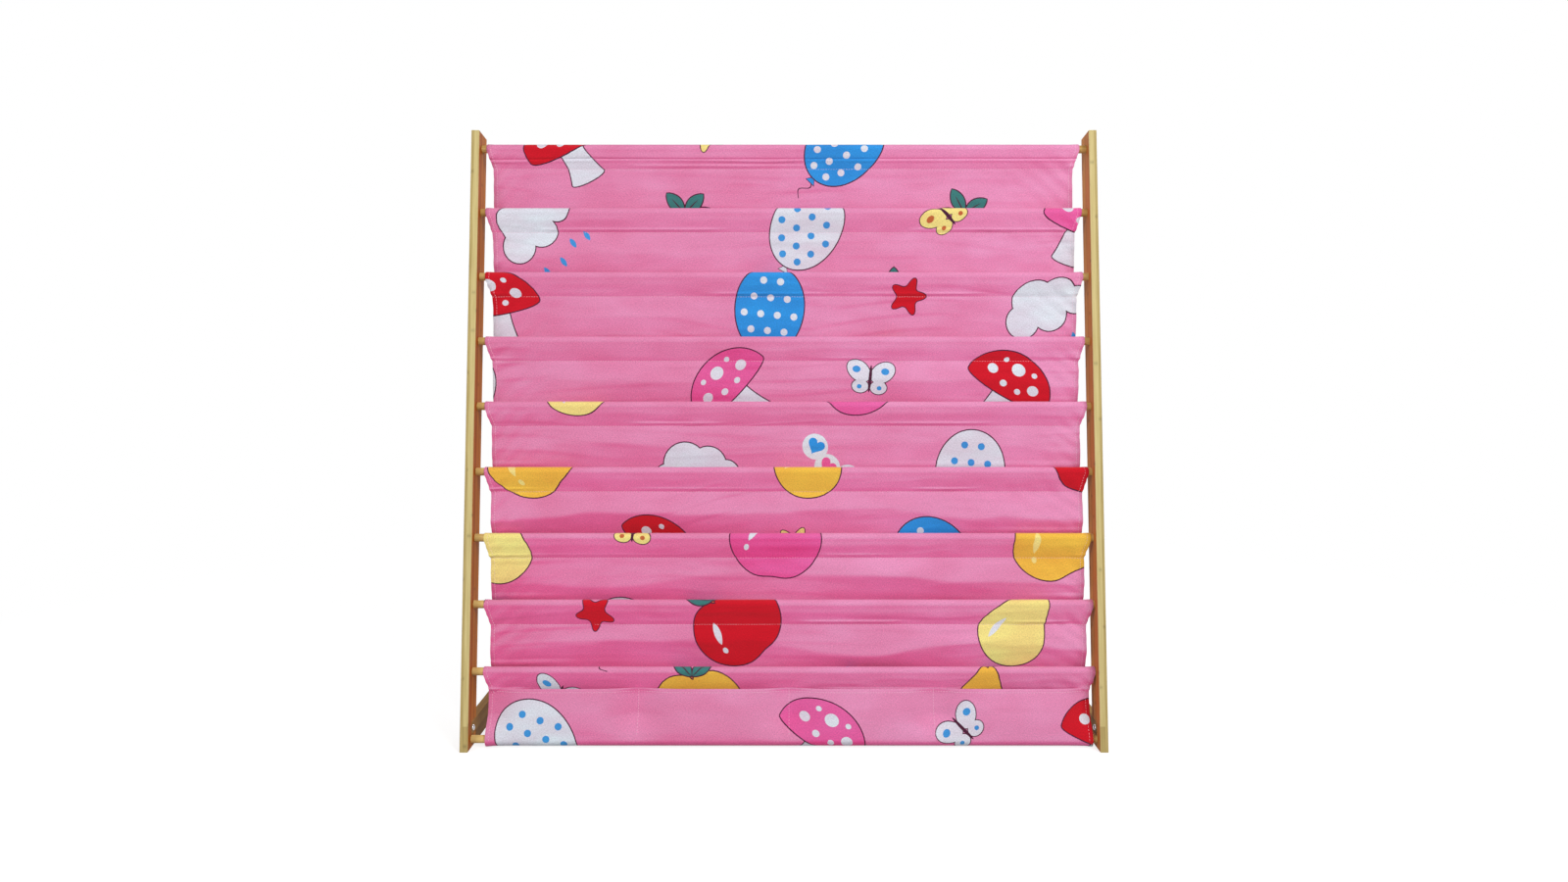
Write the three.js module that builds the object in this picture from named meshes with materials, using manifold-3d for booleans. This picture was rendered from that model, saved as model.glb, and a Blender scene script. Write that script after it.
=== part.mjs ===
import * as THREE from 'three';
import { mergeVertices } from 'three/addons/utils/BufferGeometryUtils.js';
import Module from 'manifold-3d';

// Sling bookshelf: two leaning bamboo uprights on foot rails, ten rods and a long sewn cloth.
// Millimetres, +X to the right, +Y to the back, +Z up, origin on the floor under the middle.

// Frame sizes
const frameWidth = 958;
const boardThickness = 12;
const boardDepth = 45;
const boardTopMargin = 23;
const leanDegrees = 10;
const railHeight = 37;
const footDepth = 300;
const railEndRadius = 12;

// Rod sizes
const rodCount = 10;
const rodDiameter = 12;
const rodPitch = 100;
const lowestRodRise = 16;
const rodSeatDepth = 8;

// Lap joint and bolt sizes
const tongueRadius = 10;
const boltSetback = 33;
const boltShankDiameter = 5;
const boltHeadDiameter = 9;
const boltHeadHeight = 2.6;
const nutDiameter = 11;
const nutHeight = 4.4;
const nutBoreDepth = 3;

// Stretcher and screw sizes
const stretcherHeight = 28;
const stretcherThickness = 12;
const stretcherInset = 30;
const screwLength = 30;
const screwShankDiameter = 3.6;
const screwHeadDiameter = 7.6;
const screwHeadHeight = 2.4;
const screwPointLength = 4;
const screwRowSpacing = 16;
const screwedRodStep = 3;

// Cloth sizes
const clothThickness = 1;
const clothSideClearance = 9;
const seamDrop = 31;
const seamDrawIn = 13;
const loopDrawIn = 7;
const pocketMouth = 10;
const pocketDrop = 76;
const pocketFoldRadius = 8.5;
const wallEase = 0.8;
const middleSag = 3;
const hemOverlap = 7;
const stitchRise = 18;
const compartmentBulge = 10;
const stitchBlend = 40;
const floorLoopSlack = 2.4;
const floorLoopDroop = 1.4;
const pocketSideDrawIn = 5;

// Clearance between pieces, and how far a cutter overruns the piece that it cuts
const gap = 0.3;
const overrun = 2;

// Shares of other sizes
const lapShare = 0.5;
const topSlipShare = -0.17;
const bottomSlipShare = 0.83;
const stationShares = [-1, -0.5, 0, 0.5, 1];
const stitchLineShares = [-1, -0.5, 0, 0.48, 1];
const stitchPullShares = [0, 0.3, 1, 1, 1, 1];
const blendPullShare = 0.15;
const domeShares = [[0, 1], [0.45, 0.9], [0.8, 0.55], [1, 0]];

// Facets of round pieces
const rodSides = 16;
const screwSides = 12;
const endSteps = 4;
const noseSteps = 8;
const sleeveSteps = 5;
const foldSteps = 6;
const floorLoopSteps = 6;

// Derived sizes
const lean = THREE.MathUtils.degToRad(leanDegrees);
const outerHalf = frameWidth / 2;
const innerHalf = outerHalf - boardThickness;
const boardLength = lowestRodRise + (rodCount - 1) * rodPitch + boardTopMargin;
const rodRadius = rodDiameter / 2;
const rodLength = 2 * (innerHalf + rodSeatDepth - gap);
const lapDepth = boardThickness * lapShare;
const boltHeight = railHeight - tongueRadius;
const boltShankRadius = boltShankDiameter / 2;
const screwShankRadius = screwShankDiameter / 2;
const screwHeadRadius = screwHeadDiameter / 2;
const stretcherLength = 2 * (innerHalf - gap);
const stretcherMiddle = footDepth - stretcherInset;
const sleeveRadius = rodRadius + gap + clothThickness / 2;
const layerStep = clothThickness + gap;
const clothHalf = innerHalf - clothSideClearance;
const lastSling = rodCount - 1;

const wasm = await Module();
wasm.setup();

// Materials
const bamboo = { color: 0xc9b377, roughness: 0.55, metalness: 0 };
const rodBamboo = { color: 0xbe9b59, roughness: 0.55, metalness: 0 };
const chrome = { color: 0xc9ccd1, roughness: 0.2, metalness: 1 };
const zincSteel = { color: 0x9a9da1, roughness: 0.4, metalness: 1 };
const pinkCloth = { color: 0xe084a9, roughness: 0.9, metalness: 0 };

// Leaning pieces share one frame: X across, Y through the board, Z along it
const frontEdgeY = -footDepth / 2;
const leaningFrame = new THREE.Group();
leaningFrame.position.y = frontEdgeY;
leaningFrame.rotation.x = -lean;
const standingFrame = new THREE.Group();
standingFrame.position.y = frontEdgeY;

function addMesh(parent, name, geometry, finish) {
  const mesh = new THREE.Mesh(geometry, new THREE.MeshStandardMaterial(finish));
  mesh.name = name;
  parent.add(mesh);
  return mesh;
}

function toSolid(geometry) {
  const bare = geometry.clone();
  bare.deleteAttribute('normal');
  bare.deleteAttribute('uv');
  const merged = mergeVertices(bare);
  return new wasm.Manifold(new wasm.Mesh({
    numProp: 3,
    vertProperties: new Float32Array(merged.attributes.position.array),
    triVerts: new Uint32Array(merged.index.array),
  }));
}

function toGeometry(solid) {
  const mesh = solid.getMesh();
  const geometry = new THREE.BufferGeometry();
  geometry.setAttribute('position', new THREE.BufferAttribute(mesh.vertProperties, 3));
  geometry.setIndex(new THREE.BufferAttribute(mesh.triVerts, 1));
  geometry.computeVertexNormals();
  return geometry;
}

// An outline in Y and Z, made solid between two places along X
function plate(outline, xFrom, xTo) {
  const shape = new THREE.Shape(outline.map(([y, z]) => new THREE.Vector2(y, z)));
  const geometry = new THREE.ExtrudeGeometry(shape, { depth: Math.abs(xTo - xFrom), bevelEnabled: false });
  const sideways = new THREE.Matrix4().makeBasis(
    new THREE.Vector3(0, 1, 0),
    new THREE.Vector3(0, 0, 1),
    new THREE.Vector3(1, 0, 0),
  );
  geometry.applyMatrix4(sideways);
  return geometry.translate(Math.min(xFrom, xTo), 0, 0);
}

// A cylinder along X
function crossBar(radius, xFrom, xTo, y, z, sides) {
  const geometry = new THREE.CylinderGeometry(radius, radius, Math.abs(xTo - xFrom), sides);
  geometry.rotateZ(Math.PI / 2);
  return geometry.translate((xFrom + xTo) / 2, y, z);
}

// A turned piece whose axis lies along X, its profile's positive side facing sideways outwards
function turned(profile, side) {
  const points = profile.map(([radius, along]) => new THREE.Vector2(radius, along));
  const geometry = new THREE.LatheGeometry(points, screwSides);
  return mergeVertices(geometry.rotateZ(-side * Math.PI / 2));
}

function arc(y, z, radius, from, to, steps) {
  return Array.from({ length: steps + 1 }, (_, i) => {
    const angle = from + (to - from) * i / steps;
    return [y + radius * Math.cos(angle), z + radius * Math.sin(angle)];
  });
}

// Rods, counted from the top
function rodRise(number) {
  return lowestRodRise + (rodCount - number) * rodPitch;
}

// A rod's centre seen from the side, in upright axes
function rodCentre(number) {
  const rise = rodRise(number);
  return {
    y: rise * Math.sin(lean) + boardDepth / 2 * Math.cos(lean),
    z: rise * Math.cos(lean) - boardDepth / 2 * Math.sin(lean),
  };
}

function rodIsScrewed(number) {
  return (number - 1) % screwedRodStep === 0;
}

const sides = [['left', -1], ['right', 1]];
const rodNumbers = Array.from({ length: rodCount }, (_, i) => i + 1);
const screwedRods = rodNumbers.filter(rodIsScrewed);

// Countersunk wood screw, head at the outer end
const screwProfile = [
  [0, -screwLength],
  [screwShankRadius, -screwLength + screwPointLength],
  [screwShankRadius, -screwHeadHeight],
  [screwHeadRadius, 0],
  [0, 0],
];

// The hole that a screw needs: its own shape, larger by the gap
const screwHoleProfile = [
  [0, -screwLength - gap],
  [screwShankRadius + gap, -screwLength - gap],
  [screwShankRadius + gap, -screwHeadHeight - gap],
  [screwHeadRadius + gap, 0],
  [screwHeadRadius + gap, overrun],
  [0, overrun],
];

function screwHole(side, y, z) {
  return turned(screwHoleProfile, side).translate(side * (outerHalf - gap), y, z);
}

// The tongue's outline, in upright axes, from the round nose to past the board's rear face
function tongueOutline(clearance, rearY) {
  const nose = arc(boltSetback, boltHeight, tongueRadius + clearance,
    Math.PI / 2, 3 * Math.PI / 2, noseSteps);
  return [
    ...nose,
    [rearY, boltHeight - tongueRadius - clearance],
    [rearY, boltHeight + tongueRadius + clearance],
  ];
}

// The board's rear face, in upright axes, at a height above the floor
function boardRearY(z) {
  return boardDepth / Math.cos(lean) + z * Math.tan(lean);
}

function makeUpright(name, side) {
  const outline = [
    [0, 0],
    [boardDepth, boardDepth * Math.tan(lean)],
    [boardDepth, boardLength],
    [0, boardLength],
  ];
  let solid = toSolid(plate(outline, side * innerHalf, side * outerHalf));
  for (const number of rodNumbers) {
    const seat = crossBar(rodRadius + gap, side * (innerHalf - overrun), side * (innerHalf + rodSeatDepth),
      boardDepth / 2, rodRise(number), rodSides);
    solid = solid.subtract(toSolid(seat));
  }
  for (const number of screwedRods) {
    solid = solid.subtract(toSolid(screwHole(side, boardDepth / 2, rodRise(number))));
  }
  const recessEnd = boardRearY(railHeight) + overrun;
  const recess = plate(tongueOutline(gap, recessEnd), side * (innerHalf - overrun), side * (innerHalf + lapDepth));
  solid = solid.subtract(toSolid(recess.rotateX(lean)));
  const boltHole = crossBar(boltShankRadius + gap, side * innerHalf, side * (outerHalf + overrun),
    boltSetback, boltHeight, screwSides);
  solid = solid.subtract(toSolid(boltHole.rotateX(lean)));
  addMesh(leaningFrame, name, toGeometry(solid), bamboo);
}

function makeFootRail(name, side) {
  const frontFoot = boardRearY(0) + gap / Math.cos(lean);
  const frontTop = frontFoot + railHeight * Math.tan(lean);
  const outline = [
    [frontFoot, 0],
    [footDepth, 0],
    ...arc(footDepth - railEndRadius, railHeight - railEndRadius, railEndRadius, 0, Math.PI / 2, endSteps),
    [frontTop, railHeight],
  ];
  let solid = toSolid(plate(outline, side * innerHalf, side * outerHalf));
  const tongue = plate(tongueOutline(0, frontTop + overrun), side * innerHalf, side * (innerHalf + lapDepth - gap));
  solid = solid.add(toSolid(tongue));
  const boltHole = crossBar(boltShankRadius + gap, side * (innerHalf - overrun), side * outerHalf,
    boltSetback, boltHeight, screwSides);
  solid = solid.subtract(toSolid(boltHole));
  for (const z of stretcherScrewHeights()) {
    solid = solid.subtract(toSolid(screwHole(side, stretcherMiddle, z)));
  }
  addMesh(standingFrame, name, toGeometry(solid), bamboo);
}

function stretcherScrewHeights() {
  return [railHeight / 2 + screwRowSpacing / 2, railHeight / 2 - screwRowSpacing / 2];
}

function makeStretcher() {
  const bar = new THREE.BoxGeometry(stretcherLength, stretcherThickness, stretcherHeight);
  let solid = toSolid(bar.translate(0, stretcherMiddle, railHeight / 2));
  for (const [, side] of sides) {
    for (const z of stretcherScrewHeights()) {
      solid = solid.subtract(toSolid(screwHole(side, stretcherMiddle, z)));
    }
  }
  addMesh(standingFrame, 'rear_stretcher', toGeometry(solid), bamboo);
}

function makeRod(number) {
  let solid = toSolid(crossBar(rodRadius, -rodLength / 2, rodLength / 2, 0, 0, rodSides));
  if (rodIsScrewed(number)) {
    for (const [, side] of sides) {
      solid = solid.subtract(toSolid(screwHole(side, 0, 0)));
    }
  }
  const rod = addMesh(leaningFrame, `rod_${number}`, toGeometry(solid), rodBamboo);
  rod.position.set(0, boardDepth / 2, rodRise(number));
}

function makeScrews(label, side) {
  for (const number of screwedRods) {
    const screw = addMesh(leaningFrame, `${label}_rod_screw_${number}`, turned(screwProfile, side), zincSteel);
    screw.position.set(side * (outerHalf - gap), boardDepth / 2, rodRise(number));
  }
  for (const [i, z] of stretcherScrewHeights().entries()) {
    const screw = addMesh(standingFrame, `${label}_stretcher_screw_${i + 1}`,
      turned(screwProfile, side), zincSteel);
    screw.position.set(side * (outerHalf - gap), stretcherMiddle, z);
  }
}

// The bolt's dome head bears on the tongue's inner face and its shank ends in a cap nut outside
function makeFootBolt(label, side) {
  const boltReach = boardThickness + gap + nutBoreDepth;
  const boltProfile = [
    ...domeShares.map(([radial, high]) => [boltHeadDiameter / 2 * radial, boltHeadHeight * high]),
    [boltShankRadius, 0],
    [boltShankRadius, -boltReach],
    [0, -boltReach],
  ];
  const bolt = addMesh(standingFrame, `${label}_foot_bolt`, turned(boltProfile.reverse(), -side), chrome);
  bolt.position.set(side * (innerHalf - gap), boltSetback, boltHeight);
  const nutProfile = [
    ...domeShares.map(([radial, high]) => [nutDiameter / 2 * radial, nutHeight * high]),
    [boltShankRadius + gap, 0],
    [boltShankRadius + gap, nutBoreDepth],
    [0, nutBoreDepth],
  ];
  const nut = addMesh(standingFrame, `${label}_foot_nut`, turned(nutProfile.reverse(), side), chrome);
  nut.position.set(side * (outerHalf + gap), boltSetback, boltHeight);
}

// Cloth: its layers are points in Y and Z with the cloth's half width and share of the sag there
function clothPoint([y, z], half, sagShare = 0) {
  return { y, z, half, sagShare };
}

// How far the cloth has slipped to the right, level by level down the shelf
function slip(number) {
  const down = (number - 1) / (lastSling - 1);
  return clothSideClearance * THREE.MathUtils.lerp(topSlipShare, bottomSlipShare, Math.min(down, 1));
}

// The stitched line under a rod: the front layer has direction -1, the back layer +1
function seamPoint(number, direction) {
  const rod = rodCentre(number);
  return [rod.y + direction * layerStep / 2, rod.z - seamDrop];
}

// Where the straight layer from a point meets the sleeve round a rod
function tangentAngle(rod, [y, z], turn) {
  const away = Math.hypot(y - rod.y, z - rod.z);
  return Math.atan2(z - rod.z, y - rod.y) + turn * Math.acos(sleeveRadius / away);
}

// The half sleeve over the front of a rod, from its top down to the seam
function frontSleeve(number) {
  const rod = rodCentre(number);
  const seam = seamPoint(number, -1);
  const top = Math.PI / 2 + gap / 2 / sleeveRadius;
  const leave = tangentAngle(rod, seam, -1) + 2 * Math.PI;
  const round = arc(rod.y, rod.z, sleeveRadius, top, leave, sleeveSteps);
  return [
    ...round.map((point) => clothPoint(point, clothHalf)),
    clothPoint(seam, clothHalf - seamDrawIn),
  ];
}

// The half sleeve behind a rod, from the seam up to the rod's top
function backSleeve(number) {
  const rod = rodCentre(number);
  const seam = seamPoint(number, 1);
  const top = Math.PI / 2 - gap / 2 / sleeveRadius;
  const round = arc(rod.y, rod.z, sleeveRadius, tangentAngle(rod, seam, 1), top, sleeveSteps);
  return [
    clothPoint(seam, clothHalf - seamDrawIn),
    ...round.map((point) => clothPoint(point, clothHalf)),
  ];
}

// Where the layer that hangs from a seam passes behind the next rod down
function panelFoot(number) {
  const next = rodCentre(number + 1);
  if (number < lastSling) {
    return [next.y + sleeveRadius + clothThickness + pocketMouth, next.z];
  }
  const angle = tangentAngle(next, seamPoint(number, -1), -1);
  return [next.y + sleeveRadius * Math.cos(angle), next.z + sleeveRadius * Math.sin(angle)];
}

function panelY(number, z) {
  const [topY, topZ] = seamPoint(number, -1);
  const [footY, footZ] = panelFoot(number);
  return THREE.MathUtils.mapLinear(z, topZ, footZ, topY, footY);
}

// The sling's fold: a half circle below the next rod, just behind the next panel
function slingFold(number) {
  const centreZ = rodCentre(number + 1).z - pocketDrop + pocketFoldRadius;
  const panelFront = Math.max(panelY(number + 1, centreZ), seamPoint(number + 1, -1)[0]);
  const frontY = panelFront + layerStep + wallEase;
  return { y: frontY + pocketFoldRadius, z: centreZ };
}

function slingPath(number) {
  const loopHalf = clothHalf - loopDrawIn;
  const fold = slingFold(number);
  const round = arc(fold.y, fold.z, pocketFoldRadius, 0, -Math.PI, foldSteps);
  const foot = panelFoot(number);
  const seam = seamPoint(number, -1);
  const middle = [(seam[0] + foot[0]) / 2, (seam[1] + foot[1]) / 2];
  return [
    ...frontSleeve(number),
    clothPoint(middle, loopHalf),
    clothPoint(foot, loopHalf),
    ...round.map((point) => clothPoint(point, loopHalf, 1)),
    ...backSleeve(number + 1),
  ];
}

// The first rod's sleeve goes all the way round; the others share theirs with the sling above
function firstSlingPath() {
  const loop = backSleeve(1).slice(0, -1);
  return [...loop, ...slingPath(1)];
}

function lowerPanelPath() {
  const foot = clothPoint(panelFoot(lastSling), clothHalf - pocketSideDrawIn);
  return [...frontSleeve(lastSling), foot];
}

// The bottom pocket: round the lowest rod from behind and up in front to the hem
function bottomPocketPath(pull, droop) {
  const rod = rodCentre(rodCount);
  const start = tangentAngle(rod, seamPoint(lastSling, -1), -1) - gap / sleeveRadius;
  const seam = seamPoint(lastSling, -1);
  const sleeveFront = frontSleeve(lastSling)[sleeveSteps];
  const hemZ = seam[1] + hemOverlap;
  const backAt = (z) => (z > seam[1]
    ? THREE.MathUtils.mapLinear(z, seam[1], sleeveFront.z, seam[0], sleeveFront.y)
    : panelY(lastSling, z));
  const half = clothHalf - pocketSideDrawIn;
  const loop = Array.from({ length: floorLoopSteps }, (_, i) => {
    const share = i / floorLoopSteps;
    const angle = start + (-Math.PI - start) * share;
    const radius = sleeveRadius + floorLoopSlack * share + droop * Math.sin(share * Math.PI);
    return clothPoint([rod.y + radius * Math.cos(angle), rod.z + radius * Math.sin(angle)], half);
  });
  const frontY = rod.y - sleeveRadius - floorLoopSlack;
  const hemY = backAt(hemZ) - layerStep - compartmentBulge;
  const rises = [0, rodRadius + clothThickness, stitchRise];
  const rows = stitchPullShares.length;
  const heights = stitchPullShares.map((_, i) => (i < rises.length
    ? rod.z + rises[i]
    : THREE.MathUtils.mapLinear(i, rises.length - 1, rows - 1, rod.z + stitchRise, hemZ)));
  const front = heights.map((z, i) => {
    const open = THREE.MathUtils.mapLinear(z, rod.z, hemZ, frontY, hemY);
    const closed = backAt(z) - layerStep;
    const y = THREE.MathUtils.lerp(open, closed, stitchPullShares[i] * pull);
    return clothPoint([y, z], half);
  });
  return [...loop, ...front];
}

// Stations across the bottom pocket: its stitch lines, both sides of each, and the middles
function pocketStations() {
  const half = clothHalf - pocketSideDrawIn;
  const blend = stitchBlend / half;
  const stations = [];
  stitchLineShares.forEach((share, i) => {
    stations.push({ share, pull: 1, droop: Math.abs(share) === 1 ? floorLoopDroop : 0 });
    const next = stitchLineShares[i + 1];
    if (next !== undefined) {
      stations.push({ share: share + blend, pull: blendPullShare, droop: 0 });
      stations.push({ share: (share + next) / 2, pull: 0, droop: 0 });
      stations.push({ share: next - blend, pull: blendPullShare, droop: 0 });
    }
  });
  return stations;
}

// Places one station's path in space
function placeStation(path, share, shift) {
  return path.map(({ y, z, half, sagShare }) => {
    const sag = middleSag * sagShare * (1 - share * share);
    return new THREE.Vector3(share * half + shift, y, z - sag);
  });
}

// The direction through the cloth at a point of a station, lengthened where the path turns
function clothNormal(line, i) {
  const before = line[Math.max(i - 1, 0)];
  const after = line[Math.min(i + 1, line.length - 1)];
  const across = (from, to) => new THREE.Vector2(-(to.z - from.z), to.y - from.y).normalize();
  const first = i > 0 ? across(before, line[i]) : across(line[i], after);
  const second = i < line.length - 1 ? across(line[i], after) : first;
  const middle = first.clone().add(second).normalize();
  return middle.multiplyScalar(1 / middle.dot(first));
}

// A closed sheet of the cloth's thickness through lines of points that lie side by side along X
function clothSolid(lines) {
  const rows = lines[0].length;
  const layers = lines.length * rows;
  const positions = [];
  for (const face of [1, -1]) {
    for (const line of lines) {
      line.forEach((point, i) => {
        const normal = clothNormal(line, i).multiplyScalar(face * clothThickness / 2);
        positions.push(point.x, point.y + normal.x, point.z + normal.y);
      });
    }
  }
  const indices = [];
  const quad = (a, b, c, d) => indices.push(a, b, c, a, c, d);
  const front = (j, i) => j * rows + i;
  const back = (j, i) => layers + j * rows + i;
  const lastLine = lines.length - 1;
  const lastRow = rows - 1;
  for (let j = 0; j < lastLine; j += 1) {
    for (let i = 0; i < lastRow; i += 1) {
      quad(front(j, i), front(j + 1, i), front(j + 1, i + 1), front(j, i + 1));
      quad(back(j, i), back(j, i + 1), back(j + 1, i + 1), back(j + 1, i));
    }
    quad(front(j, 0), back(j, 0), back(j + 1, 0), front(j + 1, 0));
    quad(front(j, lastRow), front(j + 1, lastRow), back(j + 1, lastRow), back(j, lastRow));
  }
  for (let i = 0; i < lastRow; i += 1) {
    quad(front(0, i), front(0, i + 1), back(0, i + 1), back(0, i));
    quad(front(lastLine, i), back(lastLine, i), back(lastLine, i + 1), front(lastLine, i + 1));
  }
  const geometry = new THREE.BufferGeometry();
  geometry.setAttribute('position', new THREE.Float32BufferAttribute(positions, 3));
  geometry.setIndex(indices);
  geometry.computeVertexNormals();
  return geometry;
}

function makeSling(number) {
  const path = number === 1 ? firstSlingPath() : slingPath(number);
  const lines = stationShares.map((share) => placeStation(path, share, slip(number)));
  addMesh(standingFrame, `sling_${number}`, clothSolid(lines), pinkCloth);
}

function makeLowerPanel() {
  const lines = stationShares.map((share) => placeStation(lowerPanelPath(), share, slip(lastSling)));
  addMesh(standingFrame, 'lower_panel', clothSolid(lines), pinkCloth);
}

function makeBottomPocket() {
  const lines = pocketStations().map(({ share, pull, droop }) => (
    placeStation(bottomPocketPath(pull, droop), share, slip(rodCount))));
  addMesh(standingFrame, 'bottom_pocket', clothSolid(lines), pinkCloth);
}

for (const [label, side] of sides) {
  makeUpright(`${label}_upright`, side);
  makeFootRail(`${label}_foot_rail`, side);
  makeFootBolt(label, side);
  makeScrews(label, side);
}
makeStretcher();
rodNumbers.forEach(makeRod);
for (let number = 1; number < lastSling; number += 1) {
  makeSling(number);
}
makeLowerPanel();
makeBottomPocket();

const bookshelf = new THREE.Group();
bookshelf.add(leaningFrame, standingFrame);

export default bookshelf;
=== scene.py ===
from math import atan2, acos, cos, hypot, pi, radians, sin

import bmesh
import bpy
import numpy as np
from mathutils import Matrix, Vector
from mathutils.geometry import delaunay_2d_cdt


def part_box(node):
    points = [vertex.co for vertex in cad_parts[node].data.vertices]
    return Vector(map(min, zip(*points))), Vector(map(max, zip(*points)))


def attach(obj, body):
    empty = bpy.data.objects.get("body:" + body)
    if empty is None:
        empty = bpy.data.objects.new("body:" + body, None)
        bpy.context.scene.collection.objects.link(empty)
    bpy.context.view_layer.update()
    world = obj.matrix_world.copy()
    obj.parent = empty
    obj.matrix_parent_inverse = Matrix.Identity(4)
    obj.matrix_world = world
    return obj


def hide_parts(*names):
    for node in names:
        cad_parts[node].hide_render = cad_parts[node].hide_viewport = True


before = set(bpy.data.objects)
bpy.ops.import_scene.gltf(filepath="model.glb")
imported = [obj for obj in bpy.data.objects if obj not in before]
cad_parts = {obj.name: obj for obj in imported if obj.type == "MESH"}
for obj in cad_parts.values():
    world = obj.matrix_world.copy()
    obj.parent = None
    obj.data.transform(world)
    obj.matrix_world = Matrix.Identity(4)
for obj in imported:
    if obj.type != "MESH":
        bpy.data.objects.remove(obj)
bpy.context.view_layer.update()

scene = bpy.context.scene

# Camera, worked out from the photograph's converging edges
PHOTO_WIDTH = 1600
FOCAL_PIXELS = 1178
SENSOR_WIDTH = 36
CAMERA_FRONT = 1.646
CAMERA_HEIGHT = 0.6347
CAMERA_TILT = radians(5.97)

# Frame sizes, as in the model
LEAN = radians(10)
ROD_COUNT = 10
ROD_RADIUS = 0.006
ROD_CHAMFER = 0.0008
SCREWED_RODS = range(1, ROD_COUNT + 1, 3)
FRONT_EDGE_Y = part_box("left_upright")[0][1]
INNER_HALF = -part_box("left_upright")[1][0]

# Where the turned coordinates of the boards' material start: at the front lower edge
BOARD_ORIGIN = (0, -FRONT_EDGE_Y * cos(LEAN), -FRONT_EDGE_Y * sin(LEAN))

# Cloth sizes
CLOTH_THICKNESS = 0.0008
SLEEVE_RADIUS = 0.0068
SLEEVE_MIDDLE = 0.36
SLEEVE_LOW = 0.72
LAYER_STEP = 0.0010
SIDE_CLEARANCE = 0.009
SEAM_DROP = 0.031
POCKET_DROP = 0.076
FOLD_RADIUS = 0.0085
PANEL_BACKSET = 0.0178
WALL_EASE = 0.0012
LOOP_PULL = 0.02
LOOP_LEAN = 0.001
WALL_PULL = 0.012
MIDDLE_SAG = 0.003
HEM_OVERLAP = 0.007
SIDE_HEM = 0.007
STITCH_RISE = 0.034
COMPARTMENT_BULGE = 0.007
FLOOR_SLACK = 0.0024
FLOOR_DROOP = 0.0014
POCKET_BELLY = 0.0025
LAP_ANGLE = radians(60)
STITCH_LINE_SHARES = (-1, -0.5, 0, 0.48, 1)
STITCH_PULL_WIDTH = 0.034
TOP_SLIP_SHARE = -0.17
BOTTOM_SLIP_SHARE = 0.83
CLOTH_HALF = INNER_HALF - SIDE_CLEARANCE
CLOTH_WIDTH = 2 * CLOTH_HALF

# How far each side of the cloth is drawn in
SLEEVE_DRAW_IN = 0.001
SEAM_DRAW_IN = 0.009
PANEL_DRAW_IN = 0.0085
LOOP_DRAW_IN = 0.009
POCKET_DRAW_IN = 0.005
HEM_DRAW_IN = 0.008

# Fold sizes
PANEL_BELLY = 0.0092
CREASE_SHARPNESS = 13
LEDGE_DEPTH = 0.0018
TERRACE_DEPTH = 0.0015
TERRACE_STEP = 0.023
TERRACE_RISE = 0.82
EDGE_WOBBLE = 0.0012
WOBBLE_LENGTH = 0.045
OTHER_SIDE_V = 40.0
PLEAT_DEPTH = 0.00105
WAVE_DEPTH = 0.0019
PUCKER_DEPTH = 0.00034
DRAG_DEPTH = 0.0023
DRAG_SPACING = 0.027
DRAG_REACH = 0.042
HEM_STEP = 0.0003
HEM_SLOPE = 0.0012
PINCH_DEPTH = 0.0017
PINCH_REACH = 0.02
TOP_HEM_RISE = 0.0125
TOP_HEM_DEPTH = 0.0007

# Spacing of the cloth's points: across it, and along each kind of stretch
COLUMN_STEP = 0.0052
ROW_STEPS = dict(rise=0.0035, over=0.0021, fall=0.0024, top_hem=0.0008, to_seam=0.0011, panel=0.0023,
                 behind=0.0062, fold=0.0026, wall=0.0058, lower_panel=0.0055, floor=0.0025, pocket=0.0034)

# Print sizes
OUTLINE = 0.0018
THIN_OUTLINE = 0.0014
MOTIF_RADIUS = 0.065
STAR_RADIUS = 0.030
BUTTERFLY_SIZE = 0.034
HEART_SIZE = 0.027
HEART_STEP = 0.035
PRINT_COLUMN = 0.43
PRINT_ROW = 0.155
PRINT_SLANT = 0.185
PRINT_SMALL_DROP = -0.016
PRINT_EDGE = 0.0035
PRINT_START_U = 0.125
PRINT_START_V = 0.045
PRINT_MARGIN = 0.001
POCKET_PRINT_SHIFT = 0.02
CUT_MERGE = 0.00001
SLIVER_AREA = 1e-13

# Thread sizes
STITCH_LENGTH = 0.0033
STITCH_PITCH = 0.0040
THREAD_RADIUS = 0.00022
THREAD_SECTION = ((1, 0), (0.3, 0.9), (-0.9, 0.0), (0.3, -0.9))
HEM_STITCH = 0.0055
SIDE_STITCH = SIDE_HEM - 0.0012
SEAM_STITCH_RISE = 0.0006
SIDE_STITCH_MARGIN = 0.004
POCKET_STITCH_MARGIN = 0.001
COMPARTMENT_STITCH_END = 0.008

# Fastener sizes, as in the model
SCREW_LENGTH = 0.030
SCREW_RADIUS = 0.0018
SCREW_HEAD_RADIUS = 0.0038
SCREW_HEAD_HEIGHT = 0.0024
SCREW_POINT = 0.004
SCREW_HOLE_RADIUS = 0.0021
SCREW_HOLE_DEPTH = 0.0263
RECESS_HALF_WIDTH = 0.00045
RECESS_REACH = 0.0021
RECESS_DEPTH = 0.0013
BOLT_RADIUS = 0.0025
BOLT_REACH = 0.0153
BOLT_HEAD_RADIUS = 0.0045
BOLT_HEAD_HEIGHT = 0.0026
NUT_RADIUS = 0.0055
NUT_HEIGHT = 0.0044
NUT_HEX_HEIGHT = 0.0018
NUT_CHAMFER = 0.0003
NUT_BORE_RADIUS = 0.0028
NUT_BORE_DEPTH = 0.003
TURNED_MERGE = 0.000005
TURNED_SHARP_ANGLE = radians(35)

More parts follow.
